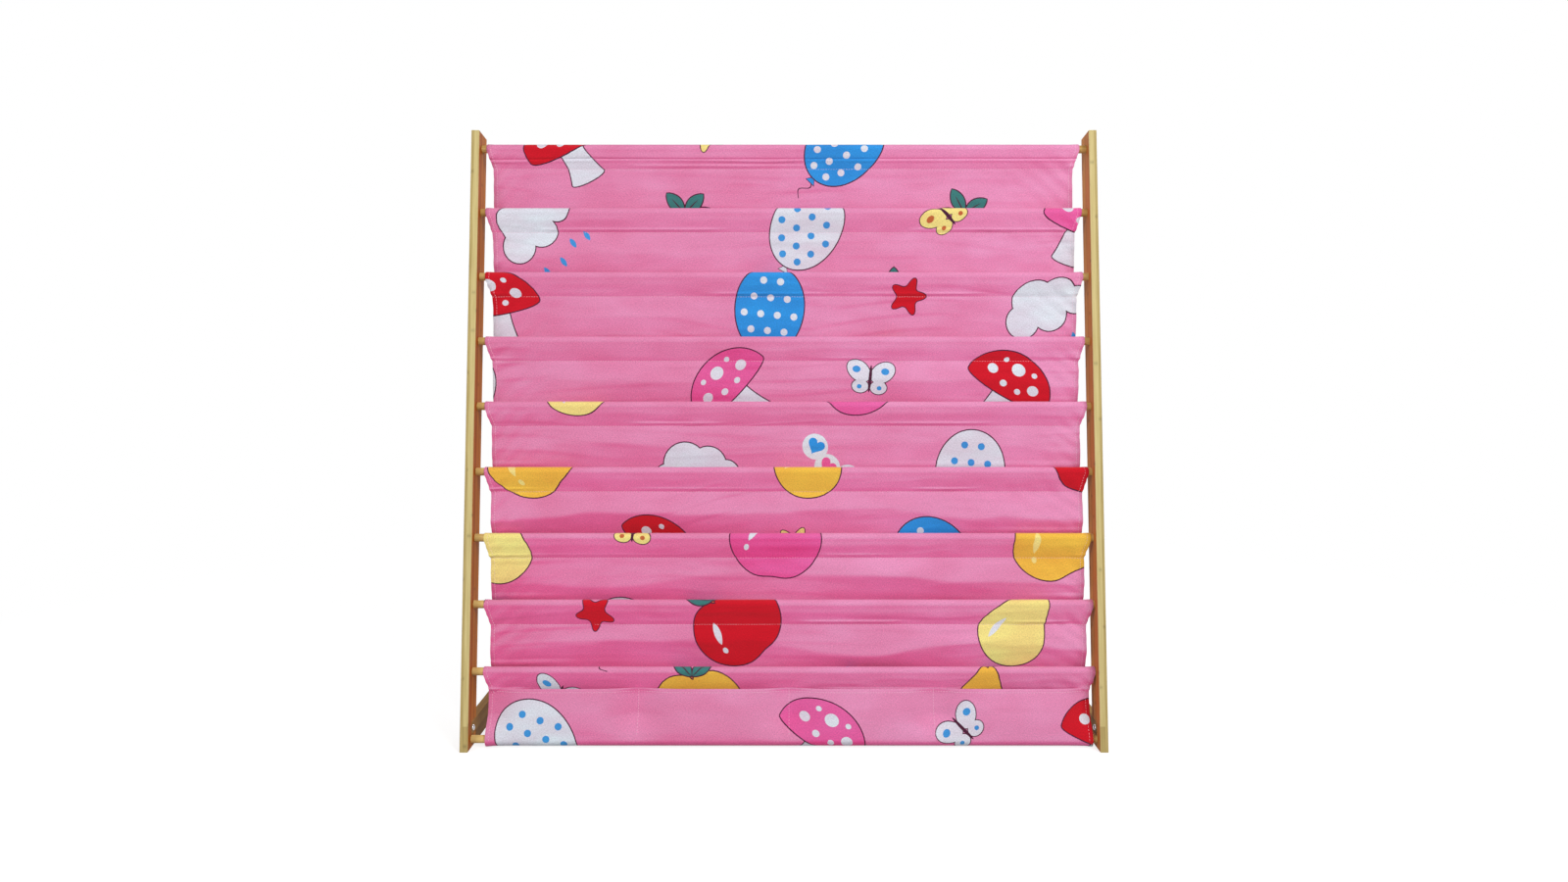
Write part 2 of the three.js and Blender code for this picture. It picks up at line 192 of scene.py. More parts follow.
# Board finish
LAMELLA_DEPTH = 0.0022
LAMELLA_FOOT = 0.038
LAMELLA_WIDTH = 0.0078
KNUCKLE_SPACING = 0.31
EDGE_EASE = 0.0006
EDGE_ANGLE = radians(34)
BOARD_MERGE = 0.00001
FLAT_ANGLE = radians(0.6)

# Light: the backdrop's share on the shelf, the floor, and each lamp's place, size and power
AMBIENT = 0.265
FLOOR_HALF = 14.0
FLOOR_GREY = 0.40
FLOOR_LIFT = 0.74
FADE_REACH = 3.0
LAMP_TARGET = (0, 0, 0.45)
LAMPS = {
    "key": ((1.9, -2.4, 2.5), (1.6, 1.0), 80),
    "fill": ((-2.2, -2.5, 1.6), (1.4, 1.0), 41),
    "back": ((0.4, 2.4, 2.2), (2.0, 1.2), 26),
}

# Colours are hex texts, matched to the photograph
PRINT_COLOURS = dict(pink="e38bb4", outline="4a1c36", red="ce0e24", blue="2f93e0", yellow="f3e289",
                     amber="f0be47", white="dddfe9", magenta="e45fa0", green="3b7c79", rust="c4693a",
                     sky="3f97dc")
REVERSE_COLOUR = "f3d3de"
GHOST_SHARE = 0.66

# Painted shade: the pink darkens, by these factors, as the cloth turns from upright to facing down
PAINTED_SHADE_PINK = (1.10, 0.60, 0.83, 1)
PAINTED_SHADE_SHARE_ABOVE = 0.6
PAINTED_SHADE_FROM_RISE = 0.04
PAINTED_SHADE_TO_RISE = -0.40

# The painted shade is deeper towards the lower left, as if the cloth faced down a little, and a painted
# light makes the pink paler on the right
PAINTED_SHADE_START_V = 1.0
PAINTED_SHADE_END_V = 1.8
PAINTED_SHADE_LEFT = 0.27
PAINTED_SHADE_RIGHT = 0.02
PAINTED_SHADE_AT_LEFT = (0.97, 0.92, 0.93, 1)
PAINTED_LIGHT_AT_RIGHT = (1.03, 1.11, 1.10, 1)


def channels(colour):
    return [int(colour[i:i + 2], 16) for i in (0, 2, 4)]


def linear(colour):
    """A hex colour in linear light."""
    values = [value / 255 for value in channels(colour)]
    return [v / 12.92 if v <= 0.04045 else ((v + 0.055) / 1.055) ** 2.4 for v in values] + [1]


def paler(colour):
    """The same colour as it shows through on the cloth's reverse."""
    pairs = zip(channels(colour), channels(REVERSE_COLOUR))
    return "".join(f"{round(front * (1 - GHOST_SHARE) + back * GHOST_SHARE):02x}" for front, back in pairs)


def grey(value):
    return (value, value, value, 1)


# Node helpers
class Nodes:
    """The nodes of a material or of the world, and its main shader."""

    def __init__(self, owner, shader="Principled BSDF"):
        owner.use_nodes = True
        self.owner = owner
        self.tree = owner.node_tree
        self.shader = self.tree.nodes[shader]

    def put(self, sockets, values):
        """Links another node's output to each socket, or sets a plain value on it."""
        for socket, value in zip(sockets, values):
            if hasattr(value, "is_linked"):
                self.tree.links.new(value, socket)
            else:
                socket.default_value = value

    def feed(self, node, **inputs):
        """Sets a node's inputs by name, with _ for a space."""
        self.put([node.inputs[key.replace("_", " ")] for key in inputs], inputs.values())

    def add(self, kind, *values, **inputs):
        """A new node, its first inputs set in order and others by name."""
        node = self.tree.nodes.new("ShaderNode" + kind)
        self.put(node.inputs, values)
        self.feed(node, **inputs)
        return node

    def math(self, operation, *values):
        node = self.add("Math", *values)
        node.operation = operation
        return node.outputs[0]

    def mix(self, kind, factor, first, second):
        node = self.add("Mix")
        node.data_type = "RGBA"
        node.blend_type = kind
        self.put([node.inputs[place] for place in (0, 6, 7)], (factor, first, second))
        return node.outputs[2]

    def product(self, colour, *layers):
        for layer in layers:
            colour = self.mix("MULTIPLY", 1.0, colour, layer)
        return colour

    def ramp(self, source, *stops):
        """Colours at places along the source: a text is a hex colour, and a number is a grey."""
        node = self.add("ValToRGB", source)
        elements = node.color_ramp.elements
        while len(elements) < len(stops):
            elements.new(0.5)
        for element, (place, colour) in zip(elements, stops):
            element.position = place
            if isinstance(colour, str):
                element.color = linear(colour)
            else:
                element.color = colour if isinstance(colour, tuple) else grey(colour)
        return node.outputs[0]

    def span(self, value, start, end, low=0.0, high=1.0):
        """Goes from low to high, and no further, as the value goes from start to end."""
        node = self.add("MapRange", Value=value, From_Min=start, From_Max=end, To_Min=low, To_Max=high)
        return node.outputs[0]

    def split(self, vector):
        return self.add("SeparateXYZ", vector).outputs

    def noise(self, coordinates, stretch, detail=2.0):
        mapping = self.add("Mapping", Vector=coordinates, Scale=stretch)
        return self.add("TexNoise", Vector=mapping.outputs[0], Scale=1.0, Detail=detail).outputs["Fac"]

    def bump(self, height, strength, distance):
        node = self.add("Bump", Height=height, Strength=strength, Distance=distance)
        self.feed(self.shader, Normal=node.outputs[0])

    def seen_rays(self):
        """One for the rays that show the backdrop, and zero for those that light the shelf."""
        rays = self.add("LightPath").outputs
        seen = self.math("MAXIMUM", rays["Is Camera Ray"], rays["Is Glossy Ray"])
        return self.math("MAXIMUM", seen, rays["Is Transmission Ray"])


# Painted shade and light on the pink: it darkens where the cloth faces down, more so low on the left, and a
# painted light makes it paler on the right
def pink_with_painted_shade(n, flat, tinted):
    across, along, _ = n.split(flat)
    left = n.span(across, 0.0, CLOTH_WIDTH, PAINTED_SHADE_LEFT, PAINTED_SHADE_RIGHT)
    lower = n.span(along, PAINTED_SHADE_START_V, PAINTED_SHADE_END_V)
    rise = n.split(n.add("NewGeometry").outputs["Normal"])[2]
    rise_for_painted_shade = n.math("SUBTRACT", rise, n.math("MULTIPLY", left, lower))
    downward = n.span(rise_for_painted_shade, PAINTED_SHADE_FROM_RISE, PAINTED_SHADE_TO_RISE)
    share = n.span(along, 0.0, PAINTED_SHADE_END_V, PAINTED_SHADE_SHARE_ABOVE)
    tinted = n.mix("MULTIPLY", n.math("MULTIPLY", downward, share), tinted, PAINTED_SHADE_PINK)
    # Painted shade on the left side and painted light on the right side
    painted_light_and_shade_across = n.ramp(n.math("DIVIDE", across, CLOTH_WIDTH), (0.0, PAINTED_SHADE_AT_LEFT), (1.0, PAINTED_LIGHT_AT_RIGHT))
    return n.product(tinted, painted_light_and_shade_across)


# Woven cloth: heathered threads, slubs and a soft nap, in flat cloth coordinates (metres), with painted
# shade and light on the pink and magenta
def cloth_material(name, colour, painted_shade=False):
    n = Nodes(bpy.data.materials.new(name))
    n.feed(n.shader, Roughness=0.9, Specular_IOR_Level=0.2, Sheen_Weight=0.18, Sheen_Roughness=0.5)
    flat = n.add("TexCoord").outputs["UV"]
    warp = n.noise(flat, (1300, 380, 1), 3.0)
    weft = n.noise(flat, (380, 1300, 1), 3.0)
    slubs = n.noise(flat, (640, 640, 1))
    mottle = n.noise(flat, (14, 30, 1), 4.0)
    broad = n.noise(flat, (4.5, 8, 1))
    threads = n.math("ADD", warp, weft)
    heather = n.ramp(n.math("MULTIPLY", threads, 0.5), (0.36, 0.84), (0.64, 1.16))
    specks = n.ramp(slubs, (0.32, 0.92), (0.68, 1.08))
    patches = n.ramp(mottle, (0.35, (0.98, 0.90, 0.93, 1)), (0.65, (1.02, 1.06, 1.05, 1)))
    faded = n.ramp(broad, (0.36, (0.985, 0.92, 0.94, 1)), (0.64, (1.015, 1.06, 1.05, 1)))
    tinted = n.product(linear(colour), heather, specks, patches, faded)
    # Painted shade where the cloth faces down and low on the left, and painted light on the right
    if painted_shade:
        tinted = pink_with_painted_shade(n, flat, tinted)
    n.feed(n.shader, Base_Color=tinted)
    n.bump(threads, 0.35, 0.0006)
    return n.owner


def board_plies(n, wood, axes, fibre, broad, bar):
    """A board's two plies: the outer one is lighter, and the inner one, whose darker, redder wood is partly
    a painted shade with the cloth's pink bounce, has a pale lamella along its front edge, down to a butt
    joint."""
    at_front = n.math("LESS_THAN", axes["Y"], LAMELLA_DEPTH)
    above = n.math("GREATER_THAN", axes["Z"], LAMELLA_FOOT)
    inner = n.math("LESS_THAN", n.math("ABSOLUTE", axes["X"]), INNER_HALF + LAMELLA_WIDTH)
    outer_ply = n.ramp(broad, (0.32, "b07c38"), (0.68, "d6a65e"))
    outer_ply = n.product(outer_ply, n.ramp(fibre, (0.3, 0.88), (0.7, 1.06)), bar)
    plain = n.ramp(fibre, (0.3, "a8925a"), (0.7, "c6b175"))
    pale = n.ramp(fibre, (0.3, "c4b073"), (0.7, "dac98e"))
    edge = n.mix("MIX", n.math("MULTIPLY", inner, above), plain, pale)
    return n.mix("MIX", at_front, n.mix("MIX", inner, outer_ply, wood), n.product(edge, bar))


# Laminated bamboo: strips, fibres and knuckles along the piece, in coordinates turned to follow a board
def bamboo_material(name, dark, light, strip=(0.006, 0.009), along="Z", board=False):
    n = Nodes(bpy.data.materials.new(name))
    n.feed(n.shader, Roughness=0.62, Specular_IOR_Level=0.18)
    place = n.add("TexCoord").outputs["Object"]
    if board:
        place = n.add("Mapping", Vector=place, Location=BOARD_ORIGIN, Rotation=(LEAN, 0, 0)).outputs[0]
    axes = dict(zip("XYZ", n.split(place)))
    cross = [axis for key, axis in axes.items() if key != along]
    first, second = (n.math("FLOOR", n.math("DIVIDE", axis, width)) for axis, width in zip(cross, strip))
    random = n.add("TexWhiteNoise")
    random.noise_dimensions = "1D"
    n.feed(random, W=n.math("ADD", n.math("MULTIPLY", first, 7.31), n.math("MULTIPLY", second, 3.17)))
    tone = random.outputs["Value"]
    stretch = [14 if key == along else 520 for key in axes]
    fibre = n.noise(place, stretch, 4.0)
    broad = n.noise(place, [value * 0.08 for value in stretch], 3.0)
    blend = n.math("ADD", n.math("MULTIPLY", tone, 0.45), n.math("MULTIPLY", fibre, 0.35))
    blend = n.math("ADD", blend, n.math("MULTIPLY", broad, 0.35))
    shifted = n.math("ADD", axes[along], n.math("MULTIPLY", tone, KNUCKLE_SPACING))
    within = n.math("FRACT", n.math("DIVIDE", shifted, KNUCKLE_SPACING))
    knuckle = n.math("ABSOLUTE", n.math("SUBTRACT", within, 0.5))
    bar = n.ramp(knuckle, (0.0, 0.72), (0.006, 0.86), (0.014, 1.0))
    wood = n.product(n.ramp(blend, (0.28, dark), (0.85, light)), bar)
    if board:
        wood = board_plies(n, wood, axes, fibre, broad, bar)
    n.feed(n.shader, Base_Color=wood)
    n.bump(n.math("ADD", fibre, n.math("MULTIPLY", bar, 0.6)), 0.12, 0.0004)
    return n.owner


def metal_material(name, colour, roughness):
    n = Nodes(bpy.data.materials.new(name))
    scuff = n.noise(n.add("TexCoord").outputs["Object"], (900, 900, 900), 3.0)
    patchy = n.ramp(scuff, (0.3, roughness * 0.8), (0.7, roughness * 1.3))
    tone = n.ramp(scuff, (0.3, 0.94), (0.7, 1.0))
    n.feed(n.shader, Metallic=1.0, Roughness=patchy, Base_Color=n.product(linear(colour), tone))
    return n.owner


# Meshes
def add_mesh(name, vertices, faces, materials):
    mesh = bpy.data.meshes.new(name)
    mesh.from_pydata([tuple(v) for v in vertices], [], [tuple(f) for f in faces])
    mesh.update()
    piece = bpy.data.objects.new(name, mesh)
    scene.collection.objects.link(piece)
    for material in materials:
        mesh.materials.append(material)
    mesh.shade_smooth()
    return piece


def add_modifier(piece, name, kind, **settings):
    modifier = piece.modifiers.new(name, kind)
    for key, value in settings.items():
        setattr(modifier, key, value)


def turned_piece(name, profile, centre, side, material, steps=48, hexagonal=0.0, recess=None):
    """A turned piece round the X axis: profile holds (radius, distance outwards) from its inner end.
    Rows up to the distance hexagonal are a hexagon, and recess(radius, angle) sinks the outer face."""
    vertices, faces = [], []
    rows, top = len(profile), profile[-1][1]
    for i in range(steps):
        angle = 2 * pi * i / steps
        corner = cos(pi / 6) / cos(angle % (pi / 3) - pi / 6)
        for radius, along in profile:
            r = radius * corner if along <= hexagonal and radius > NUT_BORE_RADIUS else radius
            rise_for_painted_shade = recess(radius, angle) if recess and along == top else 0
            x = centre[0] + side * (along - rise_for_painted_shade)
            vertices.append((x, centre[1] + r * cos(angle), centre[2] + r * sin(angle)))
    for i in range(steps):
        for j in range(rows - 1):
            here, there = i * rows + j, (i + 1) % steps * rows + j
            quad = (here, here + 1, there + 1, there)
            faces.append(quad[::-1] if side > 0 else quad)
    piece = add_mesh(name, vertices, faces, [material])
    mesh = piece.data
    shape = bmesh.new()
    shape.from_mesh(mesh)
    bmesh.ops.remove_doubles(shape, verts=shape.verts, dist=TURNED_MERGE)
    bmesh.ops.recalc_face_normals(shape, faces=shape.faces)
    shape.to_mesh(mesh)
    shape.free()
    mesh.set_sharp_from_angle(angle=TURNED_SHARP_ANGLE)
    return piece


# The cloth's path, seen from the side
ROD_CENTRES = {}
for number in range(1, ROD_COUNT + 1):
    low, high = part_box(f"rod_{number}")
    ROD_CENTRES[number] = ((low[1] + high[1]) / 2, (low[2] + high[2]) / 2)


def arc(centre, radius, start, end, steps, end_radius=None):
    """Points from one angle to another, and to the end radius where there is one."""
    angles = np.linspace(start, end, steps + 1)
    radii = np.linspace(radius, end_radius or radius, steps + 1)
    return [(centre[0] + r * cos(a), centre[1] + r * sin(a)) for r, a in zip(radii, angles)]


def tangent_angle(centre, point, turn):
    away = hypot(point[0] - centre[0], point[1] - centre[1])
    return atan2(point[1] - centre[1], point[0] - centre[0]) + turn * acos(SLEEVE_RADIUS / away)


def front_tangent(number, seam):
    """Where the cloth from a seam in front meets a rod's sleeve."""
    y, z = ROD_CENTRES[number]
    angle = tangent_angle((y, z), seam, -1)
    return (y + SLEEVE_RADIUS * cos(angle), z + SLEEVE_RADIUS * sin(angle))


def seam_point(number, direction):
    y, z = ROD_CENTRES[number]
    return (y + direction * LAYER_STEP / 2, z - SEAM_DROP)


def slip(number):
    """How far the cloth has slipped to the right at a rod."""
    down = min((number - 1) / (ROD_COUNT - 2), 1)
    return SIDE_CLEARANCE * (TOP_SLIP_SHARE + (BOTTOM_SLIP_SHARE - TOP_SLIP_SHARE) * down)


def panel_foot(number):
    y, z = ROD_CENTRES[number + 1]
    if number < ROD_COUNT - 1:
        return (y + PANEL_BACKSET, z)
    return front_tangent(number + 1, seam_point(number, -1))


def along_line(start, end, z):
    """The y of a straight line at a height."""
    return start[0] + (end[0] - start[0]) * (z - start[1]) / (end[1] - start[1])


def panel_y(number, z):
    return along_line(seam_point(number, -1), panel_foot(number), z)


def sling_fold(number):
    z = ROD_CENTRES[number + 1][1] - POCKET_DROP + FOLD_RADIUS
    front = max(panel_y(number + 1, z), seam_point(number + 1, -1)[0]) + 2 * LAYER_STEP + WALL_EASE
    return (front + FOLD_RADIUS, z)


def bezier(start, pull_start, pull_end, end, steps):
    t = np.linspace(0, 1, steps + 1)[:, None]
    a, b, c, d = (np.array(p) for p in (start, pull_start, pull_end, end))
    return a * (1 - t) ** 3 + 3 * b * t * (1 - t) ** 2 + 3 * c * t ** 2 * (1 - t) + d * t ** 3


# The path's rows: where the cloth runs, and how much of each kind of fold it may have there
ROW_KEYS = ("y", "z", "closed_y", "inset", "slip", "panel", "sag", "droop", "ripple", "wave", "pucker",
            "drag", "pinch")


def both_ends(value):
    return value if isinstance(value, tuple) else (value, value)


class Path:
    def __init__(self):
        self.rows = []
        self.marks = {}

    def stretch(self, kind, points, inset, level, closed=None, **amounts):
        """Adds points, evenly spaced. Each amount runs between its two values, or keeps its one value."""
        line = np.array(points)
        along = np.concatenate([[0], np.cumsum(np.hypot(*np.diff(line, axis=0).T))])
        count = max(2, int(round(along[-1] / ROW_STEPS[kind])) + 1)
        places = np.linspace(0, along[-1], count)
        share = places / along[-1]
        ease = share * share * (3 - 2 * share)
        columns = {
            "y": np.interp(places, along, line[:, 0]),
            "z": np.interp(places, along, line[:, 1]),
            "closed_y": np.interp(places, along, line[:, 0] if closed is None else closed),
        }
        amounts["inset"] = inset
        amounts["slip"] = tuple(slip(number) for number in both_ends(level))
        for key in ROW_KEYS[len(columns):]:
            start, end = both_ends(amounts.get(key, 0.0))
            columns[key] = start + (end - start) * (share if key == "panel" else ease)
        for i in range(1 if self.rows else 0, count):
            self.rows.append([columns[key][i] for key in ROW_KEYS])


def add_sleeve(path, number):
    """Up from the seam behind a rod, over its top and down in front to the seam again."""
    centre = ROD_CENTRES[number]
    back, front = seam_point(number, 1), seam_point(number, -1)
    rise, fall = tangent_angle(centre, back, 1), tangent_angle(centre, front, -1) + 2 * pi
    over = arc(centre, SLEEVE_RADIUS, rise, fall, 24)
    path.stretch("rise", [back, over[0]], (SEAM_DRAW_IN, SLEEVE_DRAW_IN), number, ripple=0.3,
                 pucker=(0.6, 0))
    path.stretch("over", over, (SLEEVE_DRAW_IN, 0), number)
    end = np.array(over[-1])
    middle, low = (end + (np.array(front) - end) * share for share in (SLEEVE_MIDDLE, SLEEVE_LOW))
    middle_in, low_in = SLEEVE_MIDDLE * SEAM_DRAW_IN, SLEEVE_LOW * SEAM_DRAW_IN
    path.stretch("fall", [end, middle], (0, middle_in), number, ripple=(0, 0.6), wave=(0, 0.3),
                 pucker=(0, 0.4), drag=(0.2, 0.9))
    path.stretch("fall" if number > 1 else "top_hem", [middle, low], (middle_in, low_in), number, ripple=0.6,
                 wave=(0.3, 0.15), pucker=(0.4, 0.7), drag=(0.9, 1))
    path.stretch("to_seam", [low, front], (low_in, SEAM_DRAW_IN), number, ripple=(0.6, 0.35),
                 wave=(0.15, 0), pucker=(0.7, 1), drag=1, pinch=(1, 0))
    path.marks[f"seam_{number}"] = len(path.rows) - 1


def add_sling(path, number):
    """The panel below a seam, the fold behind the next rod and the wall up to that rod's seam."""
    seam, foot = seam_point(number, -1), panel_foot(number)
    seam_below, fold = seam_point(number + 1, 1), sling_fold(number)
    back, front = fold[0] + FOLD_RADIUS, fold[0] - FOLD_RADIUS
    path.stretch("panel", [seam, foot], (SEAM_DRAW_IN, PANEL_DRAW_IN), number, panel=(0, 1),
                 ripple=(0.7, 0.4), wave=(0, 0.6), pucker=(1, 0), drag=(1, 0.4))
    behind = bezier(foot, (foot[0] + LOOP_LEAN, foot[1] - LOOP_PULL), (back, fold[1] + LOOP_PULL),
                    (back, fold[1]), 24)
    path.stretch("behind", behind, (PANEL_DRAW_IN, LOOP_DRAW_IN), (number, number + 1), sag=(0, 1),
                 ripple=(0.4, 0), wave=(0.6, 0), drag=(0.4, 0))
    path.stretch("fold", arc(fold, FOLD_RADIUS, 0, -pi, 20), LOOP_DRAW_IN, number + 1, sag=1)
    wall = bezier((front, fold[1]), (front, fold[1] + WALL_PULL),
                  (seam_below[0] + WALL_EASE, seam_below[1] - WALL_PULL), seam_below, 16)
    path.stretch("wall", wall, (LOOP_DRAW_IN, SEAM_DRAW_IN), number + 1, sag=(1, 0), pucker=(0, 0.4))


def add_lower_panel(path):
    """From the last seam straight down, behind the lowest rod and under it, where the pocket is sewn on."""
    last, centre = ROD_COUNT - 1, ROD_CENTRES[ROD_COUNT]
    seam = seam_point(last, -1)
    path.stretch("lower_panel", [seam, panel_foot(last)], (SEAM_DRAW_IN, POCKET_DRAW_IN), last,
                 pucker=(0.6, 0))
    start = tangent_angle(centre, seam, -1)
    under = arc(centre, SLEEVE_RADIUS, start, -pi + LAP_ANGLE, 18, SLEEVE_RADIUS + FLOOR_SLACK - LAYER_STEP)
    path.stretch("floor", under, POCKET_DRAW_IN, ROD_COUNT, droop=(0, 1))


def panel_or_sleeve_y(z):
    """The front of the cloth behind the pocket: the lower panel, and the last sleeve above its seam."""
    last = ROD_COUNT - 1
    seam = seam_point(last, -1)
    if z <= seam[1]:
        return panel_y(last, z)
    return along_line(seam, front_tangent(last, seam), z)


def add_pocket(path):
    """The pocket's front, from its hem down to the lowest rod and under it."""
    centre = ROD_CENTRES[ROD_COUNT]
    radius = SLEEVE_RADIUS + FLOOR_SLACK
    foot = (centre[0] - radius, centre[1])
    hem_z = seam_point(ROD_COUNT - 1, -1)[1] + HEM_OVERLAP
    hem_y = panel_or_sleeve_y(hem_z) - LAYER_STEP - COMPARTMENT_BULGE
    height = hem_z - foot[1]
    heights = np.linspace(hem_z, foot[1], 40)
    rises = heights - foot[1]
    opened = [(foot[0] + (hem_y - foot[0]) * rise / height - POCKET_BELLY * sin(pi * rise / height), z)
              for rise, z in zip(rises, heights)]
    pulls = np.interp(rises, (0, STITCH_RISE / 3, STITCH_RISE, height), (0, 0.2, 1, 1))
    closed = [y + (panel_or_sleeve_y(z) - LAYER_STEP - y) * pull for (y, z), pull in zip(opened, pulls)]
    path.stretch("pocket", opened, (HEM_DRAW_IN, POCKET_DRAW_IN), ROD_COUNT, closed=closed, ripple=0.3,
                 wave=0.4, droop=(0, 0.35))
    path.marks["foot"] = len(path.rows) - 1
    under = arc(centre, radius, -pi, -pi / 2 + LAP_ANGLE / 2, 18)
    path.stretch("floor", under, POCKET_DRAW_IN, ROD_COUNT, droop=(0.35, 1))


def smooth_noise(u, v, seed):
    """Even values from -1 to 1 that vary smoothly with u and v, the same on every run."""
    iu, iv = np.floor(u), np.floor(v)
    fu, fv = u - iu, v - iv
    fu, fv = fu * fu * (3 - 2 * fu), fv * fv * (3 - 2 * fv)

    def corner(du, dv):
        mixed = np.sin((iu + du) * 127.1 + (iv + dv) * 311.7 + seed * 74.7) * 43758.5453
        return 2 * (mixed - np.floor(mixed)) - 1

    top = corner(0, 0) * (1 - fu) + corner(1, 0) * fu
    bottom = corner(0, 1) * (1 - fu) + corner(1, 1) * fu
    return top * (1 - fv) + bottom * fv


def limited(values, top=1):
    return np.clip(values, 0, top)


class Cloth:
    """The hung cloth: a grid of points over flat coordinates u (across) and v (along), in metres."""

    def __init__(self, path):
        rows = np.array(path.rows)
        column = {key: rows[:, i][:, None] for i, key in enumerate(ROW_KEYS)}
        self.v = np.concatenate([[0], np.cumsum(np.hypot(*np.diff(rows[:, :2], axis=0).T))])
        self.length = float(self.v[-1])
        self.marks = {name: float(self.v[i]) for name, i in path.marks.items()}
        self.u = np.linspace(0, CLOTH_WIDTH, int(round(CLOTH_WIDTH / COLUMN_STEP)) + 1)
        share = self.u[None, :] / CLOTH_WIDTH * 2 - 1
        side_v = self.v[:, None] + np.where(share > 0, OTHER_SIDE_V, 0.0)
        wobble = EDGE_WOBBLE * smooth_noise(side_v / WOBBLE_LENGTH, share * 0 + 0.5, 8) * np.abs(share) ** 9
        x = share * (CLOTH_HALF - column["inset"] * (0.7 + 0.3 * np.abs(share))) + column["slip"] - wobble
        lines = np.array(STITCH_LINE_SHARES)[:, None] * CLOTH_HALF
        near = np.abs(share * CLOTH_HALF - lines).min(axis=0)[None, :]
        pull = np.exp(-(near / STITCH_PULL_WIDTH) ** 2)
        y = column["y"] + (column["closed_y"] - column["y"]) * pull
        droop = FLOOR_DROOP * column["droop"] * np.abs(share) ** 40
        z = column["z"] - MIDDLE_SAG * column["sag"] * (1 - share ** 2) - droop
        self.points = np.stack([x, y, z], axis=2)
        self.normals = self.front_normals()
        self.points += self.normals * self.folds(column, share)[:, :, None]
        self.normals = self.front_normals()

    def front_normals(self):
        normal = np.cross(np.gradient(self.points, axis=0), np.gradient(self.points, axis=1))
        return normal / np.linalg.norm(normal, axis=2, keepdims=True)

    def folds(self, column, share):
        """How far each point stands forward of the plain path, in metres."""
        u, v = self.u[None, :], self.v[:, None]
        side = CLOTH_HALF * (1 - np.abs(share))

        def noise(width, length, seed, shift=0.0):
            return smooth_noise(u / width, v / length + shift, seed)

        drift = noise(0.09, 0.3, 5)
        pleat = noise(0.13, 0.0125, 1, 0.8 * drift)
        crisp = limited(1 - 3.2 * np.abs(pleat)) * limited(2 * noise(0.15, 0.4, 13))
        ripple = 0.7 + 0.6 * pleat + 0.3 * noise(0.045, 0.007, 2) + 0.9 * crisp
        phase = v / TERRACE_STEP + 0.9 * noise(0.22, 0.25, 17) + 0.12 * drift
        within = phase - np.floor(phase)
        terrace = np.minimum(within / TERRACE_RISE, (1 - within) / (1 - TERRACE_RISE))
        terrace = terrace * limited(1.3 * noise(0.16, 0.035, 18) + 0.15)

        wave = 0.5 + 0.5 * noise(0.17, 0.06, 3)
        pucker = 0.7 + 0.7 * noise(0.0125, 0.03, 4) + 0.4 * noise(0.023, 0.05, 6)

        bend = noise(0.06, 0.05, 7)
        drag = 0.5 + 0.5 * np.sin(2 * pi * (side * 0.8 + v + 0.013 * bend) / DRAG_SPACING)
        drag = drag * np.exp(-side / (DRAG_REACH + 0.02 * noise(0.3, 0.05, 14)))
        hem = limited((SIDE_HEM - side) / HEM_SLOPE)

        down = v / self.length
        turn = 0.50 + 0.22 * noise(0.19, 0.27, 9) + 0.05 * noise(0.05, 0.4, 10)
        panel = column["panel"]
        rise, fall = CREASE_SHARPNESS * panel / turn, CREASE_SHARPNESS * (1 - panel) / (1 - turn)
        belly = -np.log(np.exp(-rise) + np.exp(-fall) - np.exp(-rise - fall)) / CREASE_SHARPNESS
        depth = limited(1.15 * down - 0.12 + 0.6 * noise(0.21, 0.22, 11), 1.3)
        ledge = limited((panel - 0.79) / 0.045) - limited((panel - 0.90) / 0.06)
        ledge = ledge * down * limited(2.2 * noise(0.24, 0.4, 15))

        below_hem = self.marks.get("seam_1", -1) - TOP_HEM_RISE - v + 0.0016 * noise(0.2, np.inf, 16)
        top_hem = np.exp(-(below_hem / 0.0022) ** 2) - 1.6 * np.exp(-((below_hem - 0.0026) / 0.0014) ** 2)

        pinch = limited(2.2 * noise(0.14, 0.17, 12) - 0.2 + 0.8 * np.exp(-side / PINCH_REACH))
        away = (1 - column["pinch"]) * 4
        crease = column["pinch"] ** 0.4 * away * np.exp(1 - away) * (column["pinch"] > 0)

        forward = column["ripple"] * (PLEAT_DEPTH * ripple + TERRACE_DEPTH * terrace)
        forward = forward + WAVE_DEPTH * column["wave"] * wave + PUCKER_DEPTH * column["pucker"] * pucker
        forward = forward + DRAG_DEPTH * column["drag"] * drag + HEM_STEP * hem + PANEL_BELLY * belly * depth
        return forward + LEDGE_DEPTH * ledge + TOP_HEM_DEPTH * top_hem + PINCH_DEPTH * pinch * crease

    def locate(self, places):
        """Points and front normals at flat places, an array of (u, v)."""
        u = limited(places[:, 0] / CLOTH_WIDTH) * (len(self.u) - 1)
        j = np.minimum(u.astype(int), len(self.u) - 2)
        v = limited(places[:, 1], self.length)
        i = limited(np.searchsorted(self.v, v, side="right") - 1, len(self.v) - 2)
        fu = (u - j)[:, None]
        fv = ((v - self.v[i]) / (self.v[i + 1] - self.v[i]))[:, None]

        def blend(grid):
            top = grid[i, j] * (1 - fu) + grid[i, j + 1] * fu
            bottom = grid[i + 1, j] * (1 - fu) + grid[i + 1, j + 1] * fu
            return top * (1 - fv) + bottom * fv

        return blend(self.points), blend(self.normals)


# Print: outlines in flat cloth coordinates, later ones over earlier ones
def loop_of(u, v):
    return np.stack([u, v], axis=1)


def full_turn(steps):
    return np.linspace(0, 2 * pi, steps, endpoint=False)


def turned(loop, angle):
    c, s = cos(angle), sin(angle)
    return loop @ np.array([[c, s], [-s, c]])


